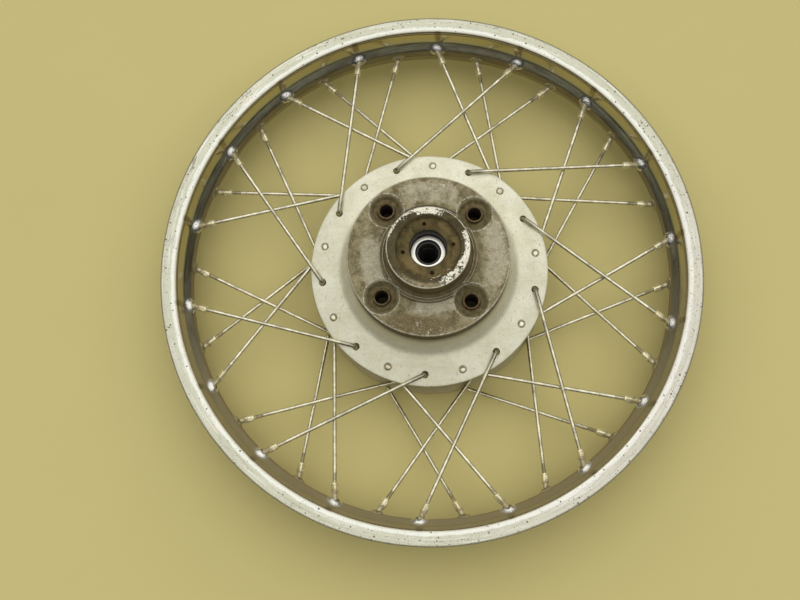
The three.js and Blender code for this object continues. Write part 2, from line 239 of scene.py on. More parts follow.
def piece(name, shape, finish, body, replaces, sharp=38):
    """A finished piece: smooth but for edges sharper than the given angle, riding on its CAD body."""
    mesh = shape if isinstance(shape, bpy.types.Mesh) else mesh_of(name, shape)
    mesh.name = name
    mesh.shade_smooth()
    mesh.set_sharp_from_angle(angle=math.radians(sharp))
    mesh.materials.clear()
    mesh.materials.append(finish)
    obj = bpy.data.objects.new(name, mesh)
    bpy.context.scene.collection.objects.link(obj)
    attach(obj, body)
    if replaces:
        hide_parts(*replaces)
    return obj


def drilled(shape, cutters, name):
    """Mesh of the shape less the cutters, which don't touch each other."""
    whole = bpy.data.objects.new(name, mesh_of(name, shape))
    tool = bpy.data.objects.new(name + "_tool", mesh_of(name + "_tool", gathered(*cutters)))
    for obj in (whole, tool):
        bpy.context.scene.collection.objects.link(obj)
    cut = whole.modifiers.new("cut", "BOOLEAN")
    cut.operation = "DIFFERENCE"
    cut.solver = "EXACT"
    cut.object = tool
    bpy.context.view_layer.update()
    result = bpy.data.meshes.new_from_object(
        whole.evaluated_get(bpy.context.evaluated_depsgraph_get())
    )
    for obj in (whole, tool):
        bpy.data.objects.remove(obj)
    return result


def pin(r, az, low, high, steps, sides=32):
    """Upright turned solid at radius r and azimuth az. steps are (height share, radius)."""
    path = [polar(r, az, low + (high - low) * share) for share, _ in steps]
    return swept(path, [radius for _, radius in steps], sides)


# ---- shader nodes ----


class Shade:
    """A node's output. Arithmetic on it makes Math nodes."""

    def __init__(self, finish, socket):
        self.finish = finish
        self.socket = socket

    def op(self, operation, *others):
        return self.finish.math(operation, self, *others)

    def __add__(self, other):
        return self.op("ADD", other)

    def __sub__(self, other):
        return self.op("SUBTRACT", other)

    def __rsub__(self, other):
        return self.finish.math("SUBTRACT", other, self)

    def __mul__(self, other):
        return self.op("MULTIPLY", other)

    def __truediv__(self, other):
        return self.op("DIVIDE", other)

    __radd__ = __add__

    def above(self, low, high):
        """0 below low, 1 above high, and a smooth step between."""
        return self.finish.step(self, low, high)

    def below(self, low, high):
        return self.finish.step(self, low, high, 1.0, 0.0)

    def near(self, middle, full, none):
        """1 within full of the middle, 0 beyond none."""
        return (self - middle).op("ABSOLUTE").below(full, none)


class Finish:
    """A procedural material in the making. Coordinates are the part's, in millimetres."""

    def __init__(self, name):
        self.material = bpy.data.materials.new(name)
        self.material.use_nodes = True
        self.tree = self.material.node_tree
        self.bsdf = self.tree.nodes["Principled BSDF"]
        where = self.tree.nodes.new("ShaderNodeTexCoord")
        scale = self.tree.nodes.new("ShaderNodeVectorMath")
        scale.operation = "SCALE"
        scale.inputs["Scale"].default_value = 1000.0
        self.tree.links.new(where.outputs["Object"], scale.inputs[0])
        self.place = Shade(self, scale.outputs[0])
        split = self.tree.nodes.new("ShaderNodeSeparateXYZ")
        self.tree.links.new(scale.outputs[0], split.inputs[0])
        self.x, self.y, self.z = (Shade(self, split.outputs[i]) for i in range(3))
        self.r = (self.x * self.x + self.y * self.y).op("SQRT")

    def azimuth(self, middle):
        """Degrees from an azimuth, -180 to 180."""
        a = math.radians(middle)
        across = self.x * math.cos(a) - self.y * math.sin(a)
        along = self.x * math.sin(a) + self.y * math.cos(a)
        return across.op("ARCTAN2", along) * (180 / math.pi)

    def set(self, socket, value):
        if isinstance(value, Shade):
            self.tree.links.new(value.socket, socket)
        elif isinstance(value, tuple) and len(value) == 3 and socket.type == "RGBA":
            socket.default_value = (*value, 1.0)
        else:
            socket.default_value = value

    def math(self, operation, *values):
        node = self.tree.nodes.new("ShaderNodeMath")
        node.operation = operation
        for socket, value in zip(node.inputs, values):
            self.set(socket, value)
        return Shade(self, node.outputs[0])

    def step(self, value, low, high, to_low=0.0, to_high=1.0):
        node = self.tree.nodes.new("ShaderNodeMapRange")
        node.interpolation_type = "SMOOTHSTEP"
        for name, v in (
            ("Value", value),
            ("From Min", low),
            ("From Max", high),
            ("To Min", to_low),
            ("To Max", to_high),
        ):
            self.set(node.inputs[name], v)
        return Shade(self, node.outputs["Result"])

    def vector(self, x, y, z):
        node = self.tree.nodes.new("ShaderNodeCombineXYZ")
        for socket, value in zip(node.inputs, (x, y, z)):
            self.set(socket, value)
        return Shade(self, node.outputs[0])

    def stretched(self, sx, sy, sz, seed=0.0):
        return self.vector(self.x * sx + seed, self.y * sy, self.z * sz)

    def round_about(self, across, along):
        """Coordinates for streaks that run round the axle: across is how often they change with
        radius and height, along how often they change round the axle."""
        return self.vector(
            (self.r + self.z * 1.37) * across, self.x / self.r * along, self.y / self.r * along
        )

    def noise(self, size, detail=3.0, rough=0.55, place=None, warp=0.0, seed=0.0):
        node = self.tree.nodes.new("ShaderNodeTexNoise")
        node.noise_dimensions = "4D"
        self.set(node.inputs["Vector"], place or self.place)
        node.inputs["W"].default_value = seed
        node.inputs["Scale"].default_value = 1.0 / size
        node.inputs["Detail"].default_value = detail
        node.inputs["Roughness"].default_value = rough
        node.inputs["Distortion"].default_value = warp
        return Shade(self, node.outputs[0])

    def cells(self, size, seed):
        """Distance from scattered points, in cells of the given size."""
        node = self.tree.nodes.new("ShaderNodeTexVoronoi")
        node.voronoi_dimensions = "4D"
        self.set(node.inputs["Vector"], self.place)
        node.inputs["W"].default_value = seed
        node.inputs["Scale"].default_value = 1.0 / size
        return Shade(self, node.outputs["Distance"])

    def blend(self, share, a, b):
        node = self.tree.nodes.new("ShaderNodeMix")
        node.data_type = "RGBA"
        self.set(node.inputs[0], share)
        self.set(node.inputs[6], a)
        self.set(node.inputs[7], b)
        return Shade(self, node.outputs[2])

    def attribute(self, name):
        node = self.tree.nodes.new("ShaderNodeAttribute")
        node.attribute_name = name
        return Shade(self, node.outputs["Fac"])

    def done(self, color, roughness, metallic, height=None, depth=0.1, gloss=0.5):
        """Sets the shader. height is a relief of the given depth in millimetres."""
        self.set(self.bsdf.inputs["Base Color"], color)
        self.set(self.bsdf.inputs["Roughness"], roughness)
        self.set(self.bsdf.inputs["Metallic"], metallic)
        self.bsdf.inputs["Specular IOR Level"].default_value = gloss
        if height is not None:
            bump = self.tree.nodes.new("ShaderNodeBump")
            bump.inputs["Distance"].default_value = depth * MM
            self.set(bump.inputs["Height"], height)
            self.tree.links.new(bump.outputs[0], self.bsdf.inputs["Normal"])
        return self.material


# ---- finishes ----


def rim_chrome():
    f = Finish("rim_chrome")
    side = (f.z - RIM_CENTRE_Z).op("ABSOLUTE")
    band = f.r.above(230.5, 232.5) * side.above(27.0, 28.0)
    wander = (f.noise(15.0, 3, 0.6, seed=18.0) - 0.5) * 5.0
    flat = (f.r + wander).above(234.4, 236.4) * band
    edge = f.r.above(242.5, 243.6)
    outer_half = f.r.above(235.5, 240.0)
    patches = f.noise(26.0, 3, 0.6, seed=2.0).above(0.42, 0.60)
    streaks = f.noise(1.0, 4, 0.7, place=f.round_about(0.8, 16.0), seed=5.0).above(0.54, 0.66)
    pits = f.cells(2.0, seed=1.0).below(0.18, 0.32)
    holes = f.cells(3.6, seed=16.0).below(0.20, 0.31) * f.noise(12.0, 2, seed=17.0).above(0.40, 0.54)
    fine_pits = f.cells(1.1, seed=4.0).below(0.18, 0.33) * f.noise(8.0, 2, seed=7.0).above(0.44, 0.54)
    amount = (patches * (0.35 + outer_half * 0.65) + 0.2).op("MINIMUM", 1.0) * band
    worst = f.azimuth(-52.0).near(0.0, 10.0, 34.0) * 0.5
    rust = pits * amount + streaks * amount * (0.35 + worst) + (fine_pits * 0.6 + holes * 0.9) * band
    rust = (rust + fine_pits * worst * band).op("MINIMUM", 1.0)
    wall = f.r.above(227.8, 228.6) * (1.0 - band)
    slope = f.r.below(227.6, 228.2)
    south = f.azimuth(180.0).near(0.0, 50.0, 104.0)
    south_wall_brown = south * f.r.below(229.4, 230.4)
    # well bottom browned: partly grime, partly painted reflection of the shaded floor; some grime on the
    # slope too
    low = side.below(3.0, 8.0) * f.r.below(226.0, 229.0)
    grime_and_reflected_shade = low * 0.55 + f.noise(19.0, 4, 0.65, seed=9.0).above(0.44, 0.72) * slope * 0.2
    # painted reflection of the dimples and nipples: dark marks on the wall above each
    spot = ((f.azimuth(FIRST_SPOKE_AZ) + 370.0).op("MODULO", 20.0) - 10.0) * (WELL_R * math.pi / 180)
    painted_nipple_reflection = (spot + (f.noise(3.0, 3, 0.6, seed=19.0) - 0.5) * 3.0).near(0.0, 1.4, 4.0)
    painted_nipple_reflection = painted_nipple_reflection * f.z.above(49.0, 51.0) * wall
    cloud = f.noise(9.0, 4, 0.6, seed=3.0)
    haze = f.noise(5.0, 5, 0.75, seed=11.0).above(0.25, 0.80)
    chrome = f.blend(cloud, (0.44, 0.45, 0.44), (0.52, 0.53, 0.53))
    # the slope's chrome is darkened to a bluish grey, with darker smears: painted reflection of the dark
    # surroundings
    chrome = f.blend(slope, chrome, (0.28, 0.295, 0.285))
    smears = f.noise(1.0, 3, 0.6, place=f.round_about(0.14, 7.0), seed=23.0).above(0.46, 0.62)
    chrome = f.blend(smears * slope * 0.7, chrome, (0.15, 0.15, 0.155))
    # brighter chrome on the flange's rounded inner corner: painted highlight stripe
    color = f.blend(band * (1.0 - flat), chrome, (0.66, 0.67, 0.62))
    brushed = f.noise(1.0, 3, 0.6, place=f.round_about(0.55, 5.0), seed=20.0)
    east = f.azimuth(118.0).near(0.0, 26.0, 60.0)
    color = f.blend(flat, color, (0.48, 0.48, 0.385))
    color = f.blend(flat * haze * 0.5, color, (0.62, 0.62, 0.54))
    color = f.blend(flat * brushed.above(0.52, 0.66) * 0.6, color, (0.74, 0.74, 0.70))
    color = f.blend(flat * brushed.below(0.36, 0.46) * 0.5, color, (0.36, 0.36, 0.28))
    color = f.blend(band * east * 0.25, color, (0.60, 0.54, 0.56))
    # the wall's chrome is tinted a darker olive: painted reflection of the shaded floor
    color = f.blend(wall, color, (0.54, 0.49, 0.34))
    # the wall on the south side is made a dull brown, with less metal and more roughness
    color = f.blend(south_wall_brown * 0.85, color, (0.36, 0.30, 0.15))
    color = f.blend(painted_nipple_reflection * 0.6, color, (0.16, 0.12, 0.06))
    color = f.blend(edge * 0.8, color, (0.16, 0.145, 0.09))
    color = f.blend(rust * 0.9, color, (0.10, 0.07, 0.04))
    color = f.blend(grime_and_reflected_shade, color, (0.22, 0.155, 0.07))
    dome = f.attribute("nipple_seat")
    # domes get a brighter chrome than the rest: painted highlight; the lower row's domes are painted darker
    # and yellower: painted shade
    lower_row_shade = f.z.below(RIM_CENTRE_Z - 2.0, RIM_CENTRE_Z)
    color = f.blend(dome, color, f.blend(lower_row_shade, (0.84, 0.83, 0.80), (0.50, 0.46, 0.36)))
    marks = f.noise(1.7, 3, 0.6, seed=22.0).above(0.545, 0.585) * dome * (1.0 - south)
    color = f.blend(marks * 0.85, color, (0.08, 0.08, 0.07))
    rough = 0.07 + band * 0.12 + flat * haze * 0.16 + wall * 0.12 + slope * 0.14
    rough = rough + rust * 0.30 + (grime_and_reflected_shade + south_wall_brown * 1.1) * 0.25 * (1.0 - dome)
    rough = rough + dome * (lower_row_shade * 0.30 - 0.06)
    relief = f.noise(26.0, 2, 0.5, seed=12.0) * 0.4 + f.noise(0.5, 2, seed=13.0) * 0.03 * band - rust * 0.2
    relief = relief + dome * f.noise(2.6, 2, 0.5, seed=15.0) * 1.7
    metallic = 1.0 - rust * 0.5 - flat * haze * 0.2 - edge * 0.3
    metallic = metallic - (grime_and_reflected_shade * 0.45 + south_wall_brown * 0.62) * (1.0 - dome)
    return f.done(color, rough, metallic, relief, depth=0.10)


def hub_alloy():
    f = Finish("hub_aluminium")
    # cast flanges: pale and satin, with clouds, specks and nicks
    blotch = f.noise(24.0, 4, 0.6, seed=1.0)
    fine = f.noise(1.4, 5, 0.72, seed=2.0)
    wipe = f.noise(1.0, 3, 0.6, place=f.stretched(0.05, 0.35, 0.3, 7.0), seed=5.0)
    specks = f.cells(2.8, seed=3.0).below(0.10, 0.19) * f.noise(9.0, 2, seed=4.0).above(0.44, 0.54)
    nicks = f.noise(1.0, 3, 0.6, place=f.stretched(0.8, 0.16, 0.4, 3.0), seed=6.0).above(0.645, 0.70)
    bare = f.blend(blotch.above(0.3, 0.7), (0.745, 0.725, 0.545), (0.92, 0.91, 0.762))
    bare = f.blend(wipe.above(0.4, 0.7) * 0.35, bare, (0.95, 0.94, 0.86))
    bare = f.blend(fine.above(0.42, 0.72) * 0.36, bare, (0.52, 0.495, 0.375))
    foot = f.r.below(72.0, 86.0) * f.z.near(74.0, 8.0, 24.0)
    # flange yellowed towards the disc's foot: partly grime, partly painted shade from the disc
    bare = f.blend(foot * (0.25 + blotch * 0.35), bare, (0.80, 0.74, 0.50))
    bare = f.blend((specks + nicks).op("MINIMUM", 1.0) * 0.7, bare, (0.13, 0.115, 0.08))
    drum = f.z.below(61.0, 63.0)
    bare = f.blend(drum * (0.72 + blotch * 0.28), bare, (0.35, 0.295, 0.12))
    # pocket mouths, folded into one quarter of the disc
    quarter = ((f.azimuth(FIRST_BUSH_AZ) + 405.0).op("MODULO", 90.0) - 45.0) * (math.pi / 180)
    across = f.r * quarter.op("SINE")
    along = f.r * quarter.op("COSINE") - BUSH_CIRCLE_R
    from_bush = (across * across + along * along).op("SQRT")
    # sprocket carrier's disc: dirty metal, rubbed pale in places, with a smooth brown stain and some
    # painted shade and light
    pockets = from_bush.below(14.5, 15.0) * f.z.above(80.0, 81.0)
    disc = (f.z.above(80.0, 96.0) * f.r.below(71.5, 73.5)).op("MAXIMUM", pockets)
    face = f.z.near(111.0, 1.0, 2.0)
    mottle = f.noise(9.0, 6, 0.66, warp=0.6, seed=8.0)
    ragged = f.noise(2.2, 5, 0.75, warp=0.9, seed=9.0)
    west = f.azimuth(-98.0).near(0.0, 14.0, 40.0) * f.r.near(47.0, 7.0, 16.0)
    east = f.azimuth(90.0).near(0.0, 14.0, 44.0) * f.r.near(59.0, 5.0, 13.0)
    north = f.azimuth(5.0).near(0.0, 14.0, 36.0) * f.r.near(57.0, 6.0, 13.0)
    south = f.azimuth(176.0).near(0.0, 14.0, 36.0) * f.r.near(45.0, 4.0, 10.0)
    rubbed = (west + east * 0.8 + north * 0.7 + south * 0.9).op("MINIMUM", 1.0)
    dirt_and_shade = f.blend(mottle.above(0.34, 0.64), (0.160, 0.132, 0.066), (0.355, 0.305, 0.172))
    haze = (mottle * 0.5 + ragged * 0.5 + rubbed * 0.25).above(0.50, 0.78) * face
    dirt_and_shade = f.blend(haze * 0.85, dirt_and_shade, (0.57, 0.53, 0.40))
    stain = f.azimuth(-168.0).near(0.0, 6.0, 40.0) * f.r.above(50.0, 59.0)
    stain = (stain + (mottle - 0.5) * 1.6 + (ragged - 0.5) * 1.4).above(0.40, 0.72)
    brown = f.blend(ragged.above(0.36, 0.64), (0.135, 0.096, 0.042), (0.260, 0.205, 0.105))
    dirt_and_shade = f.blend(stain * 0.85, dirt_and_shade, brown)
    shade = f.r.near(43.0, 0.8, 2.2) * f.azimuth(-5.0).near(0.0, 38.0, 80.0) * face
    dirt_and_shade = f.blend(shade * 0.8, dirt_and_shade, (0.045, 0.040, 0.036))
    scratches = f.noise(1.0, 3, 0.6, place=f.round_about(0.10, 26.0), seed=22.0).above(0.60, 0.65)
    scratches = scratches * f.azimuth(174.0).near(0.0, 10.0, 26.0) * ragged.above(0.46, 0.56) * face
    red = f.noise(10.0, 5, 0.7, seed=10.0).above(0.55, 0.70) * (0.3 + face * 0.7)
    dirt_and_shade = f.blend(red * 0.55, dirt_and_shade, (0.20, 0.138, 0.080))
    dirt_and_shade = f.blend(fine.above(0.50, 0.70) * face * 0.4, dirt_and_shade, (0.13, 0.098, 0.048))
    dirt_and_shade = f.blend(fine.below(0.34, 0.46) * face * 0.4, dirt_and_shade, (0.52, 0.48, 0.35))
    flecks = (ragged + rubbed * 0.07 + stain * 0.03 + f.r.above(60.0, 67.0) * 0.04).above(0.65, 0.69) * face
    edge = f.r.above(69.0, 69.8) * f.z.above(109.0, 110.2) * (0.3 + ragged.above(0.38, 0.52) * 0.7)
    lip = (from_bush + mottle * 0.9).near(15.8, 0.3, 0.75) + from_bush.near(14.1, 0.2, 0.5) * 0.6
    lip = lip * f.z.above(107.0, 109.0) * (0.08 + ragged.above(0.45, 0.56) * 0.92)
    # pocket bottoms darkened: painted shade
    bore = from_bush.below(13.4, 13.9) * f.z.below(109.0, 110.2)
    dirt_and_shade = f.blend(bore * 0.8, dirt_and_shade, (0.055, 0.043, 0.022))
    # spigot: brown wall, flaked crown, two bright lines at its foot
    wall = (f.z.above(116.4, 117.2) + f.z.above(111.2, 111.8) * f.r.below(43.0, 43.5)).op("MINIMUM", 1.0)
    side = f.z.near(100.0, 8.0, 10.0) * f.r.above(69.0, 70.0)
    dirt_and_shade = f.blend((wall + side).op("MINIMUM", 1.0) * 0.7, dirt_and_shade, (0.125, 0.090, 0.036))
    crown = f.z.above(135.8, 136.6)
    grimy = f.blend(mottle.above(0.35, 0.65), (0.058, 0.045, 0.017), (0.116, 0.090, 0.040))
    tan = f.azimuth(190.0).near(0.0, 22.0, 50.0) * f.r.above(29.0, 32.0)
    grimy = f.blend(tan * ragged.above(0.35, 0.60), grimy, (0.40, 0.34, 0.21))
    # the recess wall above the bearing nut is lightened: painted light against its shade
    inside = f.r.below(27.6, 28.2) * f.z.above(131.0, 133.0) * (1.0 - crown)
    dirt_and_shade = f.blend(inside, dirt_and_shade, (0.32, 0.26, 0.135))
    flakes = f.noise(2.6, 5, 0.72, warp=1.0, seed=14.0)
    top_left = f.azimuth(-38.0).near(0.0, 24.0, 42.0) * f.r.above(31.4, 33.4)
    top = f.azimuth(4.0).near(0.0, 15.0, 27.0) * f.r.above(28.0, 29.8)
    east_arc = f.azimuth(92.0).near(0.0, 20.0, 36.0) * f.r.above(29.2, 31.4)
    south_arc = f.azimuth(134.0).near(0.0, 20.0, 38.0) * f.r.above(26.6, 29.0)
    arc = (east_arc * 0.23).op("MAXIMUM", south_arc * 0.185)
    field = flakes + top_left * 0.195 + top * 0.215 + arc - 0.02
    peeled = field.above(0.62, 0.65) * crown
    grimy = f.blend(field.above(0.53, 0.60) * 0.8, grimy, (0.036, 0.038, 0.015))
    dirt_and_shade = f.blend(crown, dirt_and_shade, grimy)
    rim_line = f.r.above(34.0, 34.4) * f.z.above(135.9, 136.4) * flakes.above(0.36, 0.50)
    lines = f.r.near(38.75, 0.2, 0.4) + f.r.near(41.65, 0.2, 0.45)
    lines = lines * f.z.near(116.6, 0.4, 0.8) * (0.25 + ragged.above(0.40, 0.52) * 0.75)
    shine = flecks * 0.9 + edge * 0.6 + peeled + rim_line * 0.8 + lines * 0.7 + lip + scratches
    shine = shine.op("MINIMUM", 1.0)
    metal = f.blend(fine.above(0.3, 0.7), (0.60, 0.56, 0.45), (0.93, 0.91, 0.80))
    dirt_and_shade = f.blend(shine, dirt_and_shade, metal)
    color = f.blend(disc, bare, dirt_and_shade)
    rough = 0.44 + fine * 0.12 + disc * (1.0 - shine) * 0.22 - shine * disc * 0.12
    metallic = 0.4 - disc * (1.0 - shine) * 0.34 + shine * disc * 0.2
    relief = fine * 0.14 + f.noise(5.0, 3, seed=21.0) * 0.30 - specks * 0.4 - nicks * 0.3
    relief = relief + disc * (mottle * 0.7 + ragged * 0.25 - shine * 0.3)
    return f.done(color, rough, metallic, relief, depth=0.22, gloss=0.25)


def zinc_wire():
    f = Finish("spoke_zinc")
    along = f.noise(6.0, 4, 0.65, seed=1.0)
    fine = f.noise(0.9, 3, 0.7, seed=2.0)
    color = f.blend(along.above(0.3, 0.7), (0.55, 0.51, 0.38), (0.84, 0.81, 0.66))
    stain = f.noise(15.0, 3, 0.6, seed=5.0).above(0.50, 0.70) * fine.above(0.38, 0.58)
    color = f.blend(stain * 0.6, color, (0.16, 0.12, 0.07))
    hub_end = f.r.below(99.0, 108.0) * (f.z - RIM_CENTRE_Z).op("ABSOLUTE").above(27.2, 28.2)
    color = f.blend(hub_end * 0.55, color, (0.12, 0.105, 0.08))
    rough = 0.18 + fine * 0.14 + stain * 0.2
    return f.done(color, rough, 0.95 - stain * 0.4, fine * 0.5 + along * 0.5, depth=0.04)


def nipple_brass():
    f = Finish("nipple_brass")
    tint = f.noise(4.0, 3, 0.6, seed=1.0)
    fine = f.noise(0.7, 3, 0.7, seed=2.0)
    color = f.blend(tint.above(0.3, 0.7), (0.80, 0.72, 0.42), (0.98, 0.95, 0.70))
    dirt_and_shade = f.noise(2.2, 4, 0.7, seed=3.0).above(0.50, 0.66)
    # shanks darker towards the rim: partly grime, partly painted shade
    shank = f.r.above(212.5, 215.5)
    dirt_and_shade = (dirt_and_shade * 0.5 + shank * 0.5).op("MINIMUM", 1.0)
    color = f.blend(dirt_and_shade, color, (0.24, 0.18, 0.09))
    return f.done(color, 0.26 + fine * 0.2 + dirt_and_shade * 0.2, 0.7 - dirt_and_shade * 0.3, fine - dirt_and_shade * 0.6, depth=0.05)


def cast_iron():
    f = Finish("drum_iron")
    rings = f.noise(1.0, 4, 0.7, place=f.round_about(2.4, 2.0), seed=1.0)
    track = f.r.below(80.3, 80.9)
    color = f.blend(rings, (0.20, 0.19, 0.18), (0.40, 0.39, 0.37))
    rust = f.noise(7.0, 5, 0.7, seed=2.0).above(0.48, 0.68) * (1.0 - track * 0.7)
    color = f.blend(rust * 0.8, color, (0.17, 0.08, 0.04))
    rough = 0.42 + rust * 0.35 + rings * 0.1
    return f.done(color, rough, 0.85 - rust * 0.6, rings * 0.5 - rust * 0.4, depth=0.08)


def brown_rubber():
    f = Finish("bush_rubber")
    dust = f.noise(4.0, 5, 0.7, seed=1.0)
    fine = f.noise(0.6, 3, 0.7, seed=2.0)
    color = f.blend(dust.above(0.30, 0.65), (0.094, 0.076, 0.034), (0.225, 0.184, 0.096))
    color = f.blend(fine.above(0.55, 0.75) * 0.3, color, (0.24, 0.19, 0.11))
    return f.done(color, 0.72 + fine * 0.2, 0.0, fine * 0.5 + dust, depth=0.12, gloss=0.15)


def stained_steel():
    f = Finish("sleeve_steel")
    tint = f.noise(3.0, 5, 0.7, seed=1.0)
    fine = f.noise(0.5, 3, 0.7, seed=2.0)
    turning = f.noise(1.0, 2, 0.5, place=f.stretched(0.2, 0.2, 3.0), seed=3.0)
    color = f.blend(tint.above(0.3, 0.7), (0.085, 0.054, 0.024), (0.200, 0.142, 0.072))
    color = f.blend(fine.above(0.6, 0.75) * 0.4, color, (0.32, 0.26, 0.19))
    # sleeve darkened deep in the pocket: painted shade
    inside = f.z.below(104.0, 109.6)
    color = f.blend(inside * 0.9, color, (0.040, 0.032, 0.028))
    relief = fine * 0.6 + turning * 0.4
    return f.done(color, 0.55 + tint * 0.25, 0.35 - inside * 0.3, relief, depth=0.06, gloss=0.2)


def retainer_steel():
    f = Finish("retainer_rust")
    blotch = f.noise(8.0, 5, 0.65, warp=0.5, seed=1.0)
    fine = f.noise(1.1, 5, 0.75, seed=2.0)
    color = f.blend(blotch.above(0.34, 0.62), (0.048, 0.042, 0.018), (0.150, 0.113, 0.046))
    green = f.noise(7.0, 4, 0.65, warp=0.5, seed=7.0).above(0.50, 0.62)
    color = f.blend(green * 0.5, color, (0.066, 0.066, 0.026))
    red = f.noise(5.0, 4, 0.7, seed=8.0).above(0.54, 0.64)
    color = f.blend(red * 0.55, color, (0.135, 0.066, 0.030))
    south = f.azimuth(180.0).near(0.0, 40.0, 84.0) * f.r.below(21.0, 25.0)
    south_west = f.azimuth(222.0).near(0.0, 22.0, 42.0) * f.r.near(19.5, 3.0, 5.0)
    north_east = f.azimuth(60.0).near(0.0, 34.0, 62.0) * f.r.near(24.0, 2.0, 4.5)
    tan = (south * 0.45 + south_west * 0.4 + north_east * 0.45).op("MINIMUM", 1.0)
    color = f.blend(tan * (0.4 + blotch.above(0.36, 0.56) * 0.6), color, (0.235, 0.172, 0.076))
    orange = f.noise(5.0, 4, 0.7, seed=3.0).above(0.54, 0.68) * tan
    color = f.blend(orange * 0.6, color, (0.33, 0.18, 0.07))
    chips = f.noise(1.6, 4, 0.7, place=f.round_about(1.2, 9.0), seed=6.0).above(0.56, 0.62)
    bright = chips * f.r.near(25.0, 0.9, 1.8) * f.azimuth(172.0).near(0.0, 24.0, 50.0)
    color = f.blend(bright * 0.8, color, (0.60, 0.54, 0.42))
    color = f.blend(fine.above(0.56, 0.72) * 0.3, color, (0.05, 0.036, 0.02))
    # the bore is painted near black: painted shade
    bore = f.r.below(15.5, 16.1)
    color = f.blend(bore * 0.92, color, (0.016, 0.012, 0.018))
    rough = 0.60 + fine * 0.22 - bore * 0.2 - bright * 0.2
    return f.done(color, rough, 0.1 + bright * 0.6, fine + blotch * 0.6, depth=0.14, gloss=0.12)


def seal_rubber():
    f = Finish("seal_rubber")
    fine = f.noise(0.7, 4, 0.7, seed=1.0)
    dust = f.noise(3.0, 4, 0.7, seed=2.0).above(0.5, 0.8)
    color = f.blend(dust * 0.5, (0.010, 0.008, 0.010), (0.050, 0.038, 0.030))
    return f.done(color, 0.60 + fine * 0.2, 0.0, fine, depth=0.05, gloss=0.15)


def turned_steel(name, dark, light, rough, stain_tone, stain_from=0.55, bore_shade_within=0.0):
    """Turned steel with stains, painted near black inside the given radius as painted shade of the bore."""
    f = Finish(name)
    rings = f.noise(1.0, 3, 0.6, place=f.round_about(3.2, 1.5), seed=1.0)
    stain = f.noise(2.6, 5, 0.7, seed=2.0).above(stain_from, stain_from + 0.16)
    color = f.blend(rings, dark, light)
    color = f.blend(stain * 0.7, color, stain_tone)
    metallic = 0.95 - stain * 0.5
    if bore_shade_within:
        bore_shade = f.r.below(bore_shade_within, bore_shade_within + 0.3)
        color = f.blend(bore_shade, color, (0.014, 0.013, 0.012))
        metallic = metallic * (1.0 - bore_shade)
    return f.done(color, rough + stain * 0.3 + rings * 0.08, metallic, rings, depth=0.02)


CHROME = rim_chrome()
ALLOY = hub_alloy()
ZINC = zinc_wire()
BRASS = nipple_brass()
IRON = cast_iron()
RUBBER = brown_rubber()
SLEEVE = stained_steel()
RUST = retainer_steel()
SEAL = seal_rubber()
COLLAR = turned_steel(
    "collar_steel", (0.78, 0.76, 0.70), (0.92, 0.91, 0.86), 0.30, (0.45, 0.38, 0.26),
    stain_from=0.62, bore_shade_within=10.95,
)
RACE = turned_steel("bearing_steel", (0.50, 0.50, 0.49), (0.70, 0.70, 0.69), 0.16, (0.16, 0.11, 0.05))
CAGE = turned_steel("cage_steel", (0.36, 0.35, 0.33), (0.52, 0.51, 0.48), 0.32, (0.14, 0.09, 0.04))
TUBE = turned_steel("tube_steel", (0.30, 0.29, 0.28), (0.42, 0.41, 0.39), 0.40, (0.15, 0.09, 0.05))


# ---- spokes and nipples ----


def spoke_az(kind, i):
    return FIRST_SPOKE_AZ + kind[4] + i * 360 / SPOKES_PER_KIND


def spoke_line(kind):
    """Corner of the bend, rim hole and direction of a kind's spoke at flange azimuth 0."""
    _, side, outside, turn, _ = kind
    crown = side * (OUTER_CROWN if outside else INNER_CROWN)
    corner = polar(SPOKE_CIRCLE_R, 0, RIM_CENTRE_Z + crown)
    hole = polar(WELL_R, turn * SPOKE_SWEEP, RIM_CENTRE_Z + side * ROW_OFFSET)
    return corner, hole, unit(hole - corner)


# distance from the head's end, radius
HEAD_PROFILE = (
    (0.0, 0.3), (0.06, 1.1), (0.25, 1.9), (0.6, 2.55), (1.05, 2.95),
    (1.4, 3.0), (1.7, 2.75), (2.2, 2.05), (2.7, 1.9),
)
HEAD_SUNK = 0.25  # inner spokes' heads end this far below the flange's outer face
HEAD_CLEAR = 2.4  # outer spokes' heads end this far past the flange's inner face
BUTT_R = 1.95
WIRE_R = 1.75
BEND_STEPS = 9
THREAD_PITCH = 0.9
THREAD_DEPTH = 0.13
THREAD_LENGTH = 10.5
THREAD_START = 24.0  # from the rim hole
WIRE_END = 4.0  # from the rim hole


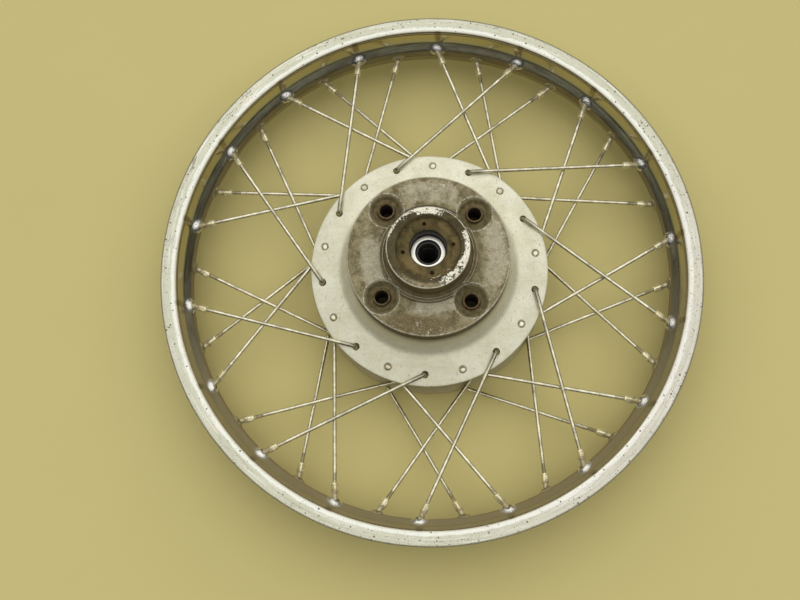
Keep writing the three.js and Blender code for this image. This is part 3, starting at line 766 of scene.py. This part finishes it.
def spoke_shape(kind):
    """Headed, bent and threaded wire."""
    _, side, outside, _, _ = kind
    corner, hole, along = spoke_line(kind)
    outer_face = RIM_CENTRE_Z + side * FLANGE_FACE
    if outside:
        head_z = outer_face - side * (FLANGE_THICK + HEAD_CLEAR)
    else:
        head_z = outer_face - side * HEAD_SUNK
    start = polar(SPOKE_CIRCLE_R, 0, head_z)
    into = unit(corner - start)
    angle = math.acos(float(into @ along))
    tangent = ELBOW_R * math.tan(angle / 2)
    bend = corner - into * tangent
    sideways = unit(along - into * (along @ into))
    path, radii = [], []
    for distance, radius in HEAD_PROFILE:
        path.append(start + into * distance)
        radii.append(radius)
    for k in range(BEND_STEPS + 1):
        a = angle * k / BEND_STEPS
        path.append(bend + into * ELBOW_R * math.sin(a) + sideways * ELBOW_R * (1 - math.cos(a)))
        radii.append(BUTT_R)
    length = np.linalg.norm(hole - path[-1])
    thread_from = length - THREAD_START
    base = path[-1]
    straight = ((6.0, BUTT_R), (12.0, WIRE_R), (40.0, WIRE_R), (80.0, WIRE_R), (thread_from, WIRE_R))
    for distance, radius in straight:
        path.append(base + along * distance)
        radii.append(radius)
    steps = int(THREAD_LENGTH / THREAD_PITCH * 4)
    for k in range(1, steps + 1):
        path.append(base + along * (thread_from + k * THREAD_PITCH / 4))
        radii.append(WIRE_R + THREAD_DEPTH * math.sin(k * math.pi / 2))
    path.append(base + along * (length - WIRE_END))
    radii.append(WIRE_R)
    path.append(base + along * (length - WIRE_END + 0.4))
    radii.append(0.6)
    return swept(path, radii, 14)


# distance from the nipple's hub end, radius, squareness
NIPPLE_PROFILE = (
    (0.0, 1.9, 0), (0.02, 2.4, 0), (0.25, 2.9, 0), (0.6, 3.1, 0), (1.6, 3.1, 0), (1.85, 2.95, 0.2),
    (2.0, 2.72, 0.9), (2.5, 2.7, 1), (8.2, 2.7, 1), (8.8, 2.65, 0.8), (9.2, 2.55, 0), (9.5, 2.5, 0),
    (12.0, 2.5, 0), (15.0, 2.5, 0), (15.6, 2.6, 0), (16.4, 3.4, 0), (16.9, 3.6, 0), (18.0, 3.6, 0),
    (18.6, 3.3, 0), (18.9, 2.5, 0), (18.92, 0.6, 0),
)
NIPPLE_REACH = 15.2


def nipple_shape(kind):
    _, hole, along = spoke_line(kind)
    path = [hole + along * (d - NIPPLE_REACH) for d, _, _ in NIPPLE_PROFILE]
    radii = [r for _, r, _ in NIPPLE_PROFILE]
    return swept(path, radii, 32, [s for _, _, s in NIPPLE_PROFILE])


for kind in SPOKE_KINDS:
    wire, nipple = spoke_shape(kind), nipple_shape(kind)
    for i in range(SPOKES_PER_KIND):
        name = f"{kind[0]}_{i + 1}"
        az = spoke_az(kind, i)
        piece("wire_" + name, about_axis(wire, az), ZINC, "wheel", [name])
        piece("nipple_" + name, about_axis(nipple, az), BRASS, "wheel", [])


# ---- rim ----

# half of the section: r, z from the centre plane, fillet
RIM_HALF = (
    (222.0, 5.0, 3), (227.8, 12.4, 3), (229.4, 28.8, 4.5), (243.2, 29.5, 4),
    (244.4, 29.45, 1.8), (244.4, 26.5, 0.9), (242.7, 26.5, 0.8), (242.3, 27.3, 1.5),
    (231.4, 27.0, 5), (229.9, 12.0, 3), (223.8, 4.2, 3),
)
DIMPLE_R = 6.8
DIMPLE_HEIGHT = 2.6
DIMPLE_TOP_R = 2.6  # flat top round the nipple
DIMPLE_EDGE = 1.2  # width over which the dimple's finish fades out
DIMPLE_SPAN = 2.2  # degrees each side of a nipple that the mesh is fine


def rim_shape():
    """Points and faces of the rim, and how far each point is on a dimple, 0 to 1."""
    upper = [(r, RIM_CENTRE_Z + z, f) for r, z, f in RIM_HALF]
    lower = [(r, RIM_CENTRE_Z - z, f) for r, z, f in reversed(RIM_HALF)]
    outline = rounded(upper + lower, 22.0)
    outline = subdivided(outline, 1.25, lambda p: p[0] < 229.3 and abs(p[1] - RIM_CENTRE_Z) < 14)
    spans = 4 * SPOKES_PER_KIND
    coarse = np.linspace(-5, -DIMPLE_SPAN, 3)[:-1]
    fine = np.linspace(-DIMPLE_SPAN, DIMPLE_SPAN, 17)
    span = np.concatenate([coarse, fine, -coarse[::-1][:-1]])
    azimuths = np.concatenate([FIRST_SPOKE_AZ + 10.0 * k + span for k in range(spans)])
    points, faces = turned(outline, azimuths=azimuths)
    seat = np.zeros(len(points))
    for kind in SPOKE_KINDS:
        _, hole, along = spoke_line(kind)
        for i in range(SPOKES_PER_KIND):
            turn = np.array(Matrix.Rotation(-math.radians(spoke_az(kind, i)), 3, "Z"))
            h, u = turn @ hole, turn @ along
            near = np.where(np.linalg.norm(points - h, axis=1) < 16)[0]
            off = points[near] - h
            away = np.linalg.norm(off - np.outer(off @ u, u), axis=1)
            t = np.clip((away - DIMPLE_TOP_R) / (DIMPLE_R - DIMPLE_TOP_R), 0, 1)
            lift = (1 - t * t * (3 - 2 * t)) * DIMPLE_HEIGHT
            points[near] -= lift[:, None] * unit(h * [1, 1, 0])
            seat[near] = np.maximum(seat[near], np.clip((DIMPLE_R - away) / DIMPLE_EDGE, 0, 1))
    return points, faces, seat


points, faces, seat = rim_shape()
rim_mesh = mesh_of("rim_shell", (points, faces))
on_dimple = rim_mesh.attributes.new("nipple_seat", "FLOAT", "POINT")
on_dimple.data.foreach_set("value", seat.astype(np.float32))
piece("rim_shell", rim_mesh, CHROME, "wheel", ["rim"], sharp=60)


# ---- hub ----

# r, z, fillet: up the outside from the drum's end ring, then down the bores
HUB_OUTLINE = (
    (85.2, 0, 0.5), (92.5, 0, 0.9), (92.5, 9.6, 2.0), (108.5, 14.3, 1.0), (108.5, 15.9, 0.5),
    (88, 16.5, 4), (88, 59.5, 4), (107.5, 59.5, 0.6), (107.5, 62.3, 1.2), (90, 66.6, 30),
    (79, 68.4, 9), (73.4, 76, 9), (70.5, 90, 12), (70.5, 110.9, 1.1), (42, 110.9, 0.7),
    (41.7, 116.5, 0.4), (38.6, 116.5, 0.35), (38.0, 115.2, 0.4), (35.2, 115.0, 0.8), (35.2, 137.1, 0.9),
    (27.2, 137.1, 0.7), (27.2, 115.0), (23.7, 115.0), (23.7, 100.8), (18, 100.8), (18, 30.2),
    (23.7, 30.2), (23.7, 12.0, 0.8), (33, 12.0, 1.5), (38, 44, 6), (42, 66, 7), (66, 64, 7),
    (68, 44, 2), (85.2, 44),
)
FACE_Z = 110.9  # face of the sprocket carrier's disc
POCKET_R = 14.2
POCKET_FLARE = 1.3
POCKET_LOW_Z, POCKET_CUT_Z = 82.7, 122.0
BEND_HOLE_R = 3.4
HEAD_HOLE_R = 2.5
COUNTERSINK_RS = (3.75, 3.85)  # at its foot, at its mouth
COUNTERSINK_DEPTH = 2.6
HOLE_INSIDE, HOLE_OUTSIDE = 3, 6  # how far a spoke hole's cutter reaches past the flange


def flange_hole(kind, az):
    """Cutter for a spoke's hole, countersunk for an inner spoke's head."""
    _, side, outside, _, _ = kind
    face = RIM_CENTRE_Z + side * FLANGE_FACE
    low, high = face - side * (FLANGE_THICK + HOLE_INSIDE), face + side * HOLE_OUTSIDE
    if outside:
        steps = ((0, BEND_HOLE_R), (1, BEND_HOLE_R))
    else:
        length = FLANGE_THICK + HOLE_INSIDE + HOLE_OUTSIDE
        sink = (FLANGE_THICK + HOLE_INSIDE - COUNTERSINK_DEPTH) / length
        foot, mouth = COUNTERSINK_RS
        steps = ((0, HEAD_HOLE_R), (sink, HEAD_HOLE_R), (sink + 0.02, foot), (1, mouth))
    return pin(SPOKE_CIRCLE_R, az, low, high, steps, 28)


def bush_pocket(az):
    """Cutter for a bush's pocket, flared at the disc's face."""

    def share(z):
        return (z - POCKET_LOW_Z) / (POCKET_CUT_Z - POCKET_LOW_Z)

    mouth = POCKET_R + POCKET_FLARE
    steps = ((0, POCKET_R), (share(FACE_Z - POCKET_FLARE), POCKET_R), (share(FACE_Z), mouth), (1, mouth))
    return pin(BUSH_CIRCLE_R, az, POCKET_LOW_Z, POCKET_CUT_Z, steps, 64)


def hub_mesh():
    cutters = []
    for kind in SPOKE_KINDS:
        cutters.extend(flange_hole(kind, spoke_az(kind, i)) for i in range(SPOKES_PER_KIND))
    cutters.extend(bush_pocket(FIRST_BUSH_AZ + 90 * i) for i in range(BUSH_COUNT))
    return drilled(turned(rounded(HUB_OUTLINE, 9.0), 288), cutters, "hub_casting")


piece("hub_casting", hub_mesh(), ALLOY, "wheel", ["hub_shell"], sharp=32)

liner = rounded((
    (80, 0.5, 0.6), (85, 0.5, 0.3), (85, 43.8, 0.3), (80, 43.8, 0.5),
    (79.7, 36), (80, 34), (80, 9), (79.6, 7),
), 20)
piece("drum_liner", turned(liner, 192), IRON, "wheel", ["brake_drum_liner"])


# ---- cushion bushes ----

BUSH_LOW_Z = 82.9
rubber = rounded((
    (7.7, BUSH_LOW_Z, 0.5), (14.2, BUSH_LOW_Z, 0.5), (14.2, 109.7, 0.5), (13.2, 109.6, 0.8),
    (10.9, 106.3, 1.5), (9.0, 106.0, 0.8), (7.7, 107.4, 0.4),
), 15)
sleeve = rounded((
    (5.75, BUSH_LOW_Z, 0.3), (7.5, BUSH_LOW_Z, 0.3), (7.5, 110.4, 0.5), (5.75, 110.4, 0.6),
), 20)
for i in range(BUSH_COUNT):
    at = Matrix.Translation(Vector(polar(BUSH_CIRCLE_R, FIRST_BUSH_AZ + 90 * i, 0)))
    soft, hard = moved(turned(rubber, 72), at), moved(turned(sleeve, 56), at)
    piece(f"bush_rubber_{i + 1}", soft, RUBBER, "wheel", [f"cush_rubber_{i + 1}"])
    piece(f"bush_sleeve_{i + 1}", hard, SLEEVE, "wheel", [f"cush_sleeve_{i + 1}"])


# ---- bearings ----


# sections of the rings, z from the bearing's middle
OUTER_RACE = (
    (23.5, -7, 0.8), (23.5, 7, 0.8), (19.6, 7, 0.4), (18.9, 6.3), (18.9, 3.0), (20.2, 1.4),
    (20.45, 0), (20.2, -1.4), (18.9, -3.0), (18.9, -6.3), (19.6, -7, 0.4),
)
INNER_RACE = (
    (8.6, -7, 0.7), (12.6, -7, 0.4), (13.2, -6.3), (13.2, -3.0), (12.0, -1.4), (11.75, 0),
    (12.0, 1.4), (13.2, 3.0), (13.2, 6.3), (12.6, 7, 0.4), (8.6, 7, 0.7),
)
CAGE_SIDES = 252
CAGE_SECTION = ((14.3, 0.0), (17.9, 0.0), (17.9, 0.6), (14.3, 0.6))  # r, height
CAGE_GAP = 0.15


def bearing_ring(section, middle):
    return turned(rounded([(c[0], c[1] + middle, *c[2:]) for c in section], 20), 96)


def ball(centre, radius):
    steps = 14
    angles = [math.pi * (k + 0.02) / (steps + 0.04) for k in range(steps + 1)]  # stops short of the poles
    path = [centre + np.array([0, 0, -radius * math.cos(a)]) for a in angles]
    return swept(path, [radius * math.sin(a) for a in angles], 24)


def cage_shape(middle):
    """Pressed cage of two waved strips, with its balls."""
    az = np.arange(CAGE_SIDES) * 360 / CAGE_SIDES
    from_ball = np.abs((az + 180 / BALL_COUNT) % (360 / BALL_COUNT) - 180 / BALL_COUNT)
    arc = np.radians(from_ball) * BALL_CIRCLE_R
    wave = np.sqrt(np.maximum((BALL_R + CAGE_GAP) ** 2 - arc**2, 0.0))
    wave = np.maximum(wave, CAGE_GAP)
    shapes = []
    for side in (1, -1):
        points = []
        for a, w in zip(az, wave):
            points.extend(polar(r, a, middle + side * (w + h)) for r, h in CAGE_SECTION)
        shapes.append(outward(np.array(points), grid_faces(CAGE_SIDES, len(CAGE_SECTION))))
    for k in range(BALL_COUNT):
        shapes.append(ball(polar(BALL_CIRCLE_R, k * 360 / BALL_COUNT, middle), BALL_R))
    return gathered(*shapes)


for name, low in (("drive", DRIVE_BEARING_Z), ("brake", BRAKE_BEARING_Z)):
    middle = low + BEARING_WIDTH / 2
    node = name + "_bearing_"
    outer, inner = bearing_ring(OUTER_RACE, middle), bearing_ring(INNER_RACE, middle)
    cage = cage_shape(middle)
    piece(node + "outer_race", outer, RACE, "wheel", [node + "outer_ring"])
    piece(node + "inner_race", inner, RACE, "axle_sleeve", [node + "inner_ring"])
    piece(node + "ball_cage", cage, CAGE, name + "_cage", [node + "balls_and_cage"])

# ---- pieces round the axle ----

distance_tube = rounded((
    (8.6, 30.2, 0.4), (11.6, 30.2, 0.4), (11.6, 100.8, 0.4), (8.6, 100.8, 0.4),
), 25)
piece(
    "distance_tube", turned(distance_tube, 96),
    TUBE, "axle_sleeve", ["bearing_distance_collar"],
)

SPANNER_CIRCLE_R = 21.3
FIRST_SPANNER_AZ = -6.5
SPANNER_STEPS = ((0, 1.6), (0.72, 1.6), (0.98, 2.4), (1, 2.4))

retainer = rounded((
    (20.2, 115.2), (27.1, 115.2, 0.4), (27.1, 133.4, 0.2), (16.4, 133.4, 0.5),
    (15.3, 132.4, 0.5), (15.3, 119.8, 0.2), (20.2, 119.8),
), 15)
spanner_holes = [
    pin(SPANNER_CIRCLE_R, FIRST_SPANNER_AZ + 90 * k, 128.4, 134.5, SPANNER_STEPS, 28) for k in range(4)
]
piece(
    "bearing_nut", drilled(turned(retainer, 192), spanner_holes, "bearing_nut"),
    RUST, "wheel", ["bearing_retainer"],
)

seal = rounded((
    (20.0, 115.4, 0.3), (20.0, 119.6, 0.4), (15.5, 119.6, 0.2), (15.05, 119.0, 0.1),
    (15.3, 118.0), (16.8, 116.8, 0.5), (16.9, 115.4, 0.3),
), 15)
piece("shaft_seal", turned(seal, 144), SEAL, "wheel", ["oil_seal"])

collar = rounded((
    (8.6, 115.2, 0.3), (12.6, 115.2, 0.4), (14.9, 116.7, 0.5), (14.9, 119.8, 0.5), (10.9, 119.8, 0.25),
    (10.2, 119.1, 0.2), (10.2, 117.0, 0.2), (8.6, 117.0, 0.3),
), 15)
piece("axle_collar", turned(collar, 144), COLLAR, "axle_sleeve", ["side_collar"])


# ---- floor, light and camera ----


FLOOR_HALF = 3.0  # metres


def floor():
    f = Finish("floor_pale")
    cloud = f.noise(180.0, 4, 0.6, seed=1.0)
    fine = f.noise(2.0, 3, 0.6, seed=2.0)
    color = f.blend(cloud, (0.64, 0.565, 0.235), (0.685, 0.605, 0.26))
    material = f.done(color, 0.75 + fine * 0.1, 0.0, fine, depth=0.05)
    mesh = bpy.data.meshes.new("floor")
    corners = [(x * FLOOR_HALF, y * FLOOR_HALF, 0) for x, y in ((-1, -1), (1, -1), (1, 1), (-1, 1))]
    mesh.from_pydata(corners, [], [(0, 1, 2, 3)])
    mesh.materials.append(material)
    obj = bpy.data.objects.new("floor", mesh)
    bpy.context.scene.collection.objects.link(obj)


# cosine of the angle from the brightest part of the ceiling, brightness there
SKY = (
    (0.0, 0.04), (0.15, 0.06), (0.40, 0.14), (0.55, 0.45),
    (0.68, 0.80), (0.87, 0.86), (0.96, 0.96), (1.0, 1.05),
)
SKY_MIDDLE = (0.08, 0.30, 0.95)
SKY_STRENGTH = 1.35


def world():
    """Soft studio: one broad bright ceiling that darkens towards the horizon."""
    w = bpy.data.worlds.new("studio")
    bpy.context.scene.world = w
    w.use_nodes = True
    tree = w.node_tree
    back = tree.nodes["Background"]
    where = tree.nodes.new("ShaderNodeTexCoord")
    toward = tree.nodes.new("ShaderNodeVectorMath")
    toward.operation = "DOT_PRODUCT"
    toward.inputs[1].default_value = SKY_MIDDLE
    ramp = tree.nodes.new("ShaderNodeValToRGB")
    tree.links.new(where.outputs["Generated"], toward.inputs[0])
    tree.links.new(toward.outputs["Value"], ramp.inputs[0])
    tree.links.new(ramp.outputs[0], back.inputs["Color"])
    while len(ramp.color_ramp.elements) < len(SKY):
        ramp.color_ramp.elements.new(0.5)
    for element, (at, level) in zip(ramp.color_ramp.elements, SKY):
        element.position = at
        element.color = (level, level * 0.985, level * 0.92, 1.0)
    back.inputs["Strength"].default_value = SKY_STRENGTH


def softbox(name, place, aim, size, power, color):
    light = bpy.data.lights.new(name, "AREA")
    light.shape = "RECTANGLE"
    light.size, light.size_y = size
    light.energy = power
    light.color = color
    obj = bpy.data.objects.new(name, light)
    obj.location = place
    obj.rotation_euler = (Vector(aim) - Vector(place)).to_track_quat("-Z", "Y").to_euler()
    bpy.context.scene.collection.objects.link(obj)


CAMERA_LENS = 41.64
CAMERA_PLACE = (0.15, -197.87, 878.04)
CAMERA_TURN = (-0.204543, -0.037501, 0.041902)  # axis times angle, world to camera


def camera():
    data = bpy.data.cameras.new("camera")
    data.lens = CAMERA_LENS
    data.sensor_width = 36.0
    data.clip_start, data.clip_end = 0.01, 50.0
    obj = bpy.data.objects.new("camera", data)
    turn = Vector(CAMERA_TURN)
    rotation = Matrix.Rotation(turn.length, 3, turn.normalized()).transposed()
    obj.matrix_world = Matrix.Translation(Vector(CAMERA_PLACE) * MM) @ rotation.to_4x4()
    bpy.context.scene.collection.objects.link(obj)
    bpy.context.scene.camera = obj


floor()
world()
softbox("key", (-0.52, 1.22, 2.2), (0, 0, 0.05), (0.4, 0.4), 0.6, (1.0, 0.99, 0.94))
camera()
bpy.context.scene.view_settings.view_transform = "Standard"
